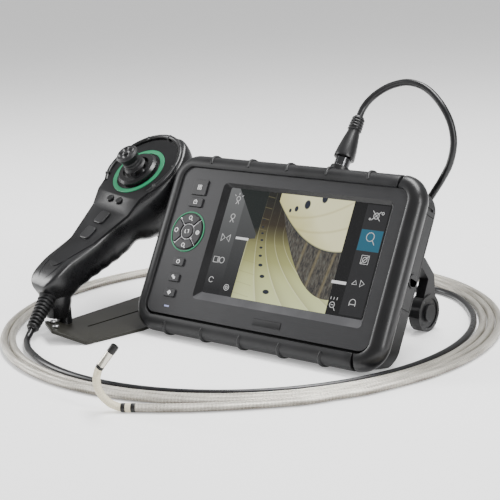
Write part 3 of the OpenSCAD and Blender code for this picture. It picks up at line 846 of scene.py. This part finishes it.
def edge_path(start, end, right):
    """Half of the monitor's outline, from the top to the bottom: the left half or the right one."""
    side = 1 if right else -1
    spots = [(start, HALF_H)]
    centre_x = side * (HALF_W - CORNER)
    for i in range(0, 19):
        angle = math.radians(90 - 5 * i)
        x = centre_x + side * CORNER * math.cos(angle)
        spots.append((x, HALF_H - CORNER + CORNER * math.sin(angle)))
    for i in range(0, 19):
        angle = math.radians(-5 * i)
        x = centre_x + side * CORNER * math.cos(angle)
        spots.append((x, CORNER - HALF_H + CORNER * math.sin(angle)))
    spots.append((end, -HALF_H))
    return spots


def arc_profile(inner, first, last, back):
    """The cross-section of the round edge: a front lip, the round outside and a flat back."""
    spots = []
    for degrees in range(first, last + 1, 6):
        angle = math.radians(degrees)
        spots.append((EDGE_R * math.sin(angle), EDGE_R * math.cos(angle)))
    low = spots[-1][0]
    spots += [(low - 0.4, back), (-4.1, back), (-7.0, back + 2.4), (-7.0, 2.0), (inner, 2.0)]
    lip = EDGE_R * math.cos(math.radians(first))
    spots += [(inner, lip - 0.9), (inner + 0.25, lip - 0.3)]
    return spots


def moulding(name, path, profile):
    """A long moulding: one section carried along a flat path, both in mm."""
    mesh = bpy.data.meshes.new(name)
    last, count = len(path) - 1, len(profile)
    points, faces = [], []
    for i, spot in enumerate(path):
        here = Vector(spot)
        ahead = (Vector(path[min(i + 1, last)]) - Vector(path[max(i - 1, 0)])).normalized()
        out = Vector((-ahead.y, ahead.x))
        if out.dot(here) < 0:
            out = -out
        for n, z in profile:
            flat = here + out * n
            points.append(Vector((flat.x, flat.y, RIM_Z + z)) * MM)
    for i in range(last):
        for k in range(count):
            j = (k + 1) % count
            faces.append((i * count + k, i * count + j, (i + 1) * count + j, (i + 1) * count + k))
    faces += [tuple(range(count)), tuple(last * count + k for k in range(count))]
    mesh.from_pydata(points, [], faces)
    piece = bpy.data.objects.new(name, mesh)
    bpy.context.scene.collection.objects.link(piece)
    return outwards(piece)


def even(path, step):
    """A path with a point every step or so on its long straights."""
    spots = [path[0]]
    for a, b in zip(path, path[1:]):
        count = max(1, round(math.dist(a, b) / step))
        spots += [(a[0] + (b[0] - a[0]) * i / count, a[1] + (b[1] - a[1]) * i / count)
                  for i in range(1, count + 1)]
    return spots


POINT_EVERY = 8.0
BUMPER_END, GRIP_END = 97.6, 100.4
RIB_FIRST_X, RIB_PITCH = -82, 38.4
edge_section = arc_profile(-2.9, -16, 150, -8.0)
bumper_path = even(edge_path(BUMPER_END, BUMPER_END, False), POINT_EVERY)
bumper = moulding("bumper_skin", bumper_path, edge_section)
ribs = []
for side in (-1, 1):
    for i in range(5):
        x = RIB_FIRST_X + RIB_PITCH * i
        spots, radii = [], []
        for degrees in range(6, 143, 8):
            angle = math.radians(degrees)
            share = (degrees - 6) / 136
            reach = 8.35 - 0.1 * share
            y = HALF_H + reach * math.sin(angle)
            bowed = x - 2.4 + 11.0 * (share - 0.45) ** 2
            spots.append((bowed, side * y, RIM_Z + reach * math.cos(angle)))
            radii.append(0.6 + 0.4 * min(1.0, share * 2.0))
        ribs.append(curve_piece("rib", spots, 2.2, 4, radii))
soften(bumper, 1.8, 3, 60)
bumper = join("bumper_skin", [bumper, *ribs])
settle(bumper, MONITOR)
smooth(bumper, 45)
fit(bumper, "base", "bumper", RUBBER, "bumper")

grip_path = even(edge_path(GRIP_END, GRIP_END, True), POINT_EVERY)
grip = moulding("side_grip_skin", grip_path, edge_section)
soften(grip, 2.6, 4, 60)
settle(grip, MONITOR)
smooth(grip, 45)
fit(grip, "base", "side_grip", GRIP, "side_grip")

# --- handle shell --------------------------------------------------------------------------------

HALF_SECTION = [
    (0.0, 0.0), (0.45, 0.0), (0.78, 0.0), (0.89, -0.014), (0.955, -0.05), (0.99, -0.125),
    (1.0, -0.24), (0.985, -0.42), (0.93, -0.6), (0.8, -0.79), (0.56, -0.93), (0.28, -0.985),
    (0.0, -1.0),
]
# Along the handle from its nose: place, half width, height of the top, and depth below it.
STATIONS = [
    (45.4, 8.0, -3.0, 11.0), (44.6, 14.5, -1.3, 15.2), (42.2, 21.0, -0.4, 20.6),
    (37.5, 27.2, 0.0, 27.0), (30.0, 32.6, 0.0, 33.5), (20.0, 37.5, 0.0, 40.5),
    (8.0, 39.8, 0.0, 47.6), (-4.0, 38.8, 0.0, 52.4),
    (-15.0, 36.0, 0.0, 52.8), (-24.0, 32.6, 0.0, 52.6), (-30.0, 29.8, -0.8, 50.0),
    (-36.0, 27.0, -2.6, 44.8), (-42.0, 24.0, -4.2, 36.2), (-47.0, 21.6, -4.5, 36.2),
    (-51.0, 20.2, -4.5, 37.4), (-56.0, 19.5, -4.5, 38.0), (-61.5, 19.2, -4.5, 36.0),
    (-67.0, 19.0, -4.5, 36.9), (-72.5, 18.7, -4.5, 33.4), (-78.0, 18.4, -4.4, 34.4),
    (-83.5, 18.2, -3.4, 31.9), (-89.0, 17.9, -2.3, 34.0), (-94.5, 17.7, -1.2, 31.3),
    (-100.0, 17.4, -0.1, 33.6), (-106.0, 17.2, 1.1, 31.8), (-112.0, 16.9, 1.5, 32.8),
    (-118.0, 16.7, 1.5, 33.0), (-124.0, 16.0, 1.3, 32.6), (-129.5, 13.9, 0.2, 30.0),
    (-133.4, 10.4, -2.2, 25.4), (-135.4, 6.2, -5.4, 18.6),
]


def handle_shell():
    """One section extruded along the handle, then widened, raised and deepened at each place."""
    ring = [*HALF_SECTION, *[(-x, z) for x, z in HALF_SECTION[-2:0:-1]]]
    clear()
    bpy.ops.mesh.primitive_circle_add(vertices=len(ring), radius=MM, fill_type="NGON")
    piece = named("handle_shell_skin")
    y, wide, top, deep = STATIONS[0]
    for vertex, (u, w) in zip(piece.data.vertices, ring):
        vertex.co = Vector((u * wide, y, top + w * deep)) * MM
    edit(piece, "EDGE")
    for place, half, height, depth in STATIONS[1:]:
        move = (0, (place - y) * MM, (height - top) * MM)
        bpy.ops.mesh.extrude_region_move(TRANSFORM_OT_translate={"value": move})
        bpy.ops.transform.resize(
            value=(half / wide, 1, depth / deep), center_override=(0, place * MM, height * MM)
        )
        y, wide, top, deep = place, half, height, depth
    bpy.ops.mesh.edge_face_add()
    clear()
    outwards(piece)
    return apply(piece, "SUBSURF", levels=2, render_levels=2)


def top_of_grip(y):
    """Height of the handle's top at a place along it."""
    low, high = STATIONS[-1], STATIONS[0]
    for ahead, behind in zip(STATIONS, STATIONS[1:]):
        if behind[0] <= y <= ahead[0]:
            low, high = behind, ahead
    share = (y - low[0]) / (high[0] - low[0])
    return low[2] + (high[2] - low[2]) * share


shell = handle_shell()
settle(shell, HANDLE @ at(0, 0, -0.5))
smooth(shell, 50)
fit(shell, "base", "grip_shell", HANDLE_SKIN, "grip_shell")

boot = lathe(
    "boot_bellows",
    [(8.6, 7.05), (9.7, 7.05), (9.95, 7.3), (9.2, 8.0), (8.5, 8.7), (8.2, 9.2), (8.25, 9.8),
     (8.6, 10.2), (8.5, 11.0), (8.0, 11.8), (8.2, 12.4), (8.0, 13.4), (7.5, 14.6), (3.1, 14.6)],
    40, HANDLE,
)
smooth(boot, 45)
fit(boot, "joystick", "stick_boot", RUBBER, "stick_boot")

# The raised rim round the head, with short clips across it.
HEAD_R = 36.6
HEAD_Y = 5.5
rim_spots = []
for degrees in range(-38, 219, 4):
    angle = math.radians(degrees)
    fade = min(1.0, (degrees + 38) / 24 + 0.15, (218 - degrees) / 24 + 0.15)
    round_head = (HEAD_R * math.cos(angle), HEAD_Y + HEAD_R * math.sin(angle))
    rim_spots.append((*round_head, 1.5 * fade - 1.2))
rim = curve_piece("head_rim", rim_spots, 1.9, 4)
clips = []
for degrees in (-26, 12, 52, 88, 126, 168, 206):
    angle = math.radians(degrees)
    spots = [((HEAD_R + out) * math.cos(angle), HEAD_Y + (HEAD_R + out) * math.sin(angle), 0.5)
             for out in (-2.8, -2.2, 1.4, 1.9)]
    clips.append(curve_piece("clip", spots, 1.7, 3, [0.6, 1.0, 1.0, 0.6]))
rim = join("head_rim", [rim, *clips])
settle(rim, HANDLE)
smooth(rim, 45)
fit(rim, "base", "grip_shell", PLUG_BLACK)

SEAM_X, SEAM_END, SEAM_NOSE = 9.1, -106, 22
seam_spots = [(SEAM_X, y) for y in range(-58, -107, -6)]
seam_spots += [(SEAM_X * math.cos(math.radians(a)), SEAM_END + SEAM_NOSE * math.sin(math.radians(a)))
               for a in range(-10, -171, -10)]
seam_spots += [(-SEAM_X, y) for y in range(-106, -57, 6)]
seam = curve_piece("grip_seam", [(x, y, top_of_grip(y) - 0.55 - max(0, -118 - y) * 0.06)
                                 for x, y in seam_spots], 0.5, 2)
settle(seam, HANDLE)
smooth(seam, 60)
fit(seam, "base", "grip_shell", STAND_BLACK)

# The lug under the butt that stands on the foot.
lug_top = (HANDLE @ (Vector((1.5, -121.0, -17.0)) * MM)) / MM
lug_foot = Vector((-141.8, -62.0, 8.5))
lug_spots = [lug_foot, lug_foot.lerp(lug_top, 0.12), lug_foot.lerp(lug_top, 0.5), lug_top]
lug = curve_piece("butt_lug", lug_spots, 10.2, 5, [0.84, 1.0, 1.16, 1.2])
smooth(lug, 50)
fit(lug, "base", "handle_foot", HANDLE_SKIN)

# --- rounded copies of the CAD pieces ------------------------------------------------------------

frame_skin = refine("front_frame", PANEL, 0.35, 12)
frame_skin.data.materials.append(GRIP)
frame_skin.data.materials.append(SILL_PAINTED_LIGHT)
foot_skin = refine("handle_foot", FOOT_STEEL, 0.4)
foot_skin.data.materials.append(HANDLE_SKIN)
RISER_AT = Vector((-140.3, -55.5, 12.0))
RISER_REACH = 11.0
FOOT_TOP = 2.6
for face in foot_skin.data.polygons:
    from_riser = (face.center / MM - RISER_AT).length
    if from_riser < RISER_REACH and face.center.z > FOOT_TOP * MM:
        face.material_index = 1
to_face = MONITOR.inverted()
face_turn = to_face.to_3x3()
# Painted light and shade in the screen recess: faces that look upwards get the lighter sill grey, the
# other walls the glossy black.
for face in frame_skin.data.polygons:
    spot = to_face @ face.center / MM
    facing = face_turn @ face.normal
    if -66 < spot.x < 100 and -47.5 < spot.y < 53.5 and -2.9 < spot.z < -0.05:
        face.material_index = 2 if facing.y > 0.2 else 1
for node, material, width in (
    ("rear_shell", SHELL, 0.6), ("port_door", SHELL, 0.35), ("door_lock", SHELL, 0.25),
    ("cable_socket", PLUG_BLACK, 0.5), ("lock_ring", BLACK_CHROME, 0.4),
    ("case_screws", STEEL, 0.15), ("kickstand", STAND_BLACK, 0.6), ("stand_feet", RUBBER, 0.8),
    ("foot_hubs", SHELL, 0.5), ("face_plate", HANDLE_FACE, 0.5), ("color_ring", GREEN, 0.3),
    ("stick_collar", HANDLE_SKIN, 0.6), ("stick_cap", KEY_DARK, 0.5), ("pad_front", KEY_DARK, 0.6),
    ("pad_back", KEY_DARK, 0.6), ("key_freeze", KEY_DARK, 0.5), ("key_zoom", KEY_DARK, 0.5),
    ("foot_screws", STEEL, 0.5), ("pad_ring", GREEN, 0.15),
):
    refine(node, material, width)
for node in ("key_menu", "key_home", "key_up", "key_right", "key_down", "key_left", "key_enter",
             "key_light", "key_image", "key_power"):
    refine(node, KEY, 0.3)
for node, material in (
    ("screen_gasket", RUBBER), ("display_panel", STEEL), ("main_board", BOARD),
    ("battery_pack", CELL), ("keypad_sheet", RUBBER), ("port_sockets", STEEL), ("stand_pins", STEEL),
    ("stick_fork", RUBBER), ("stick", STEEL), ("steer_motors", STEEL), ("handle_board", BOARD),
    ("screen_glass", SCREEN),
):
    dress(frame["nodes"][node], material)

# --- icons, lamp and small marks -----------------------------------------------------------------


def ring_spots(x, y, radius, start=0, end=360, step=30):
    return [(x + radius * math.cos(math.radians(a)), y + radius * math.sin(math.radians(a)))
            for a in range(start, end + 1, step)]


def box_spots(x, y, wide, high):
    a, b = wide / 2, high / 2
    return [(x - a, y - b), (x + a, y - b), (x + a, y + b), (x - a, y + b), (x - a, y - b)]


def marks(name, lines, height, thick, body, slot, material):
    """Thin drawn lines lying on the monitor's face."""
    strokes = [curve_piece("stroke", [(x, y, height) for x, y in line], thick, 1) for line in lines]
    piece = join(name, strokes)
    settle(piece, MONITOR)
    smooth(piece, 60)
    return fit(piece, body, slot, material)


GLASS_Z = -2.75


def shifted(lines):
    return [[(x + PX, y + PY) for x, y in line] for line in lines]


menu_icons = [
    # lamp over a stand, twice, with rays on the first
    ring_spots(-67, 35.5, 1.9), [(-67, 33.6), (-68.6, 31.0)], [(-67, 33.6), (-65.6, 31.0)],
    [(-63.9, 37.4), (-62.7, 38.6)], [(-67, 38.6), (-67, 40.4)], [(-70.1, 37.4), (-71.3, 38.6)],
    ring_spots(-67.6, 20.6, 2.0), [(-67.6, 18.6), (-69.4, 15.6)], [(-67.6, 18.6), (-65.8, 15.6)],
    # two facing arrows and a dotted line
    [(-73, 5.4), (-73, -0.6), (-69.4, 2.4), (-73, 5.4)],
    [(-64.6, 5.4), (-64.6, -0.6), (-68, 2.4), (-64.6, 5.4)],
    box_spots(-72.6, -16, 4.2, 4.6), ring_spots(-66.2, -16, 2.4), [(-69.4, -13.4), (-69.4, -18.6)],
    # a turning mark and a cog
    ring_spots(-71.4, -32.6, 2.2, 20, 320), ring_spots(-54.2, -37, 2.4), ring_spots(-54.2, -37, 1.0),
    # particles, a lens, a split plate, a mirrored pair, a lens with a cross
    ring_spots(65.4, 34.6, 2.4), [(61.6, 38.4), (69.2, 31.0)], [(61.8, 31.2), (69.0, 38.2)],
    ring_spots(70.6, 37.0, 1.0), ring_spots(60.4, 31.8, 0.7),
    ring_spots(65.0, 18.2, 3.4), [(67.4, 15.8), (69.8, 12.4)],
    box_spots(65.5, 0.6, 6.6, 6.6), [(62.8, -2.2), (68.2, 3.4)], ring_spots(65.5, 0.6, 2.0),
    [(59.8, -18.8), (62.6, -15.6), (64.0, -18.8), (59.8, -18.8)],
    [(67.0, -15.0), (67.0, -20.0), (70.6, -17.5), (67.0, -15.0)],
    ring_spots(47.6, -36.4, 2.2), [(49.2, -38.2), (51.0, -40.6)], [(46.6, -36.4), (48.6, -36.4)],
    [(45.2, -30.4), (45.2, -32.4)], [(48.0, -30.4), (48.0, -32.4)], [(50.8, -30.4), (50.8, -32.4)],
    ring_spots(64.8, -32.4, 2.6, 0, 180), [(62.2, -32.4), (62.2, -35.0)],
    [(67.4, -32.4), (67.4, -35.0)],
    [(62.2, -33.8), (67.4, -33.8)],
]
marks("screen_icons", shifted(menu_icons), GLASS_Z, 0.28, "base", "screen_glass", ICON)

KEY_TOP = 1.25
key_icons = {
    "key_menu": [box_spots(-88.9, 47.4, 1.4, 1.4), box_spots(-86.7, 47.4, 1.4, 1.4),
                 box_spots(-88.9, 45.2, 1.4, 1.4), box_spots(-86.7, 45.2, 1.4, 1.4)],
    "key_home": [box_spots(-88, 33.2, 3.2, 2.0), [(-89.6, 34.2), (-88, 35.6), (-86.4, 34.2)]],
    "key_up": [ring_spots(-88, 20.0, 1.5), [(-86.9, 18.9), (-85.6, 17.4)]],
    "key_down": [ring_spots(-88, -3.2, 1.5), [(-86.9, -4.3), (-85.6, -5.8)]],
    "key_left": [ring_spots(-99.4, 8.4, 1.7)],
    "key_right": [ring_spots(-76.6, 8.4, 1.6), ring_spots(-76.6, 8.4, 0.7)],
    "key_enter": [[(-89.8, 9.8), (-89.8, 7.0)], [(-89.8, 7.0), (-88.6, 7.0)],
                  [(-86.2, 9.8), (-86.2, 7.0)], [(-87.4, 9.8), (-86.2, 9.8)]],
    "key_light": [ring_spots(-88, -17.4, 1.5)],
    "key_image": [[(-89.4, -29.6), (-88, -30.4), (-86.8, -31.8)], ring_spots(-87.4, -31.0, 0.9),
                  ring_spots(-89.0, -29.8, 0.8)],
    "key_power": [ring_spots(-88, -43.5, 1.2), ring_spots(-88, -43.5, 0.5),
                  [(-90, -43.5), (-86, -43.5)], [(-88, -41.6), (-88, -45.4)]],
}
for key, lines in key_icons.items():
    marks(key + "_icon", lines, KEY_TOP, 0.3, key, key, WHITE)

PAD_TOP = 0.1
SPOKE_START, SPOKE_END = 6.6, 15.2
spokes = [[(PAD_X + r * math.cos(math.radians(a)), PAD_Y + r * math.sin(math.radians(a)))
           for r in (SPOKE_START, SPOKE_END)]
          for a in (45, 135, 225, 315)]
marks("pad_spokes", spokes, PAD_TOP, 0.42, "base", "pad_ring", STEEL)
hub_ring = ring_spots(PAD_X, PAD_Y, 6.5, 0, 360, 10)
marks("key_hub_ring", [hub_ring], PAD_TOP, 0.34, "base", "pad_ring", STEEL)

# The badge is half a bar pressed nearly flat.
BADGE_LEFT, BADGE_RIGHT, BADGE_Y = 1.8, 28.2, -54.2
PRESSED = 0.14
badge = curve_piece("blank_badge", [(BADGE_LEFT, BADGE_Y, 0.0), (BADGE_RIGHT, BADGE_Y, 0.0)], 3.0, 5)
for vertex in badge.data.vertices:
    vertex.co.z = max(vertex.co.z, 0.0) * PRESSED
settle(badge, MONITOR)
smooth(badge, 50)
fit(badge, "base", "front_frame", GRIP)
marks("status_lamp", [[(-90.2, -54.5), (-85.8, -54.5)]], -0.5, 0.7, "base", "front_frame", LAMP)

# --- floor and light -----------------------------------------------------------------------------

clear()
FLOOR_SIZE, FLOOR_DROP = 40.0, 0.0002
bpy.ops.mesh.primitive_plane_add(size=FLOOR_SIZE, location=(0, 0, -FLOOR_DROP))
floor = named("floor")
paper = Paint("paper_floor", Roughness=0.9, Specular_IOR_Level=0.1, Emission_Strength=0.3)
paper.set("Base Color", paper.mix(paper.noise(6.0), (0.88, 0.88, 0.88), (0.92, 0.92, 0.92)))
paper.shader.inputs["Emission Color"].default_value = (1.0, 1.0, 1.0, 1.0)
dress(floor, paper.material)

world = bpy.data.worlds.new("studio")
world.use_nodes = True
world.node_tree.nodes["Background"].inputs["Color"].default_value = (1.0, 1.0, 1.0, 1.0)
world.node_tree.nodes["Background"].inputs["Strength"].default_value = 0.55
bpy.context.scene.world = world


def soft_light(name, spot, target, size, power):
    lamp = bpy.data.lights.new(name, "AREA")
    lamp.shape = "RECTANGLE"
    lamp.size, lamp.size_y = size
    lamp.energy = power
    made = bpy.data.objects.new(name, lamp)
    bpy.context.scene.collection.objects.link(made)
    made.location = spot
    made.rotation_mode = "QUATERNION"
    made.rotation_quaternion = (Vector(target) - Vector(spot)).to_track_quat("-Z", "Y")


soft_light("top_softbox", (0.15, 0.35, 1.5), (0, 0, 0), (1.4, 0.5), 44)
soft_light("left_softbox", (-1.3, -0.5, 0.6), (0, 0, 0.08), (0.35, 0.9), 18)
soft_light("right_softbox", (1.7, -0.3, 0.8), (0, 0, 0.08), (0.25, 1.2), 22)

# --- leave edit mode with nothing selected -------------------------------------------------------

clear()
